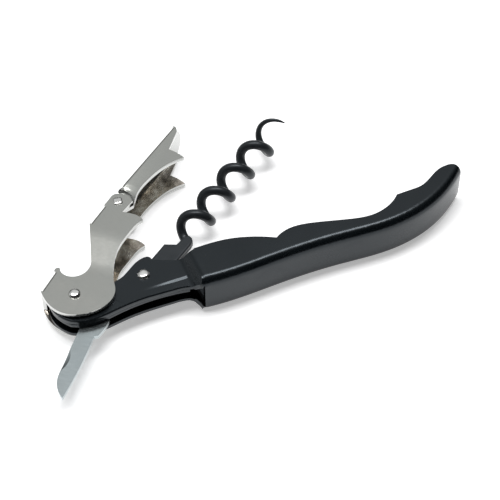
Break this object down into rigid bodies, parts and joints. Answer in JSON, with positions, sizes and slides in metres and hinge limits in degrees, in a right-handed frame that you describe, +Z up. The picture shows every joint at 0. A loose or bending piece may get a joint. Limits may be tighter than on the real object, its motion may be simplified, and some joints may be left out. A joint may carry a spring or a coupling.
{
  "type": "lever corkscrew",
  "caption": "Folding waiter's corkscrew with a channel handle, right-hand wire worm, two-step hinged lever with cap lifter, and foil knife.",
  "frame": {"origin": "centre of the rest-pose bounding box, on the surface it lies on", "axes": "+X along the handle towards its tail, +Y towards the handle's open side where the lever and worm stand, +Z up, along every pivot"},
  "size_m": [0.124, 0.0714, 0.013],
  "materials": {
    "black_paint": "satin black paint on folded sheet steel",
    "lever_steel": "satin nickel, fine grain, bright sheared edges",
    "blade_steel": "ground and polished blade steel",
    "worm_coating": "smooth black low-friction coating",
    "rivet_steel": "polished domed heads"
  },
  "bodies": {
    "handle": {"handle_shell": "black_paint", "knife_liner": "black_paint", "lever_rivet": "rivet_steel", "worm_rivet": "rivet_steel", "knife_rivet": "black_paint", "lever_washers": "lever_steel", "neck_spacer": "black_paint", "worm_washers": "black_paint", "knife_washer": "lever_steel"},
    "lever_arm": {"lever_arm": "lever_steel", "hinge_rivet": "rivet_steel"},
    "lever_boot": {"lever_boot": "lever_steel"},
    "worm": {"worm": "worm_coating", "worm_base": "worm_coating"},
    "knife": {"knife_blade": "blade_steel"}
  },
  "joints": [
    {"name": "lever_fold", "type": "hinge", "parent": "handle", "child": "lever_arm", "pos_m": [-0.04901, -0.00921, 0.0065], "axis": [0, 0, 1], "range_deg": [-40, 56]},
    {"name": "boot_hinge", "type": "hinge", "parent": "lever_arm", "child": "lever_boot", "pos_m": [-0.02836, 0.01479, 0.0065], "axis": [0, 0, 1], "range_deg": [0, 90]},
    {"name": "worm_fold", "type": "hinge", "parent": "handle", "child": "worm", "pos_m": [-0.03006, -0.00911, 0.0065], "axis": [0, 0, 1], "range_deg": [-40, 56]},
    {"name": "knife_fold", "type": "hinge", "parent": "handle", "child": "knife", "pos_m": [-0.04276, -0.01211, 0.0065], "axis": [0, 0, 1], "range_deg": [0, 121]}
  ],
  "couplings": [
    {"joint": "worm_fold", "follows": "lever_fold", "ratio": 1}
  ]
}
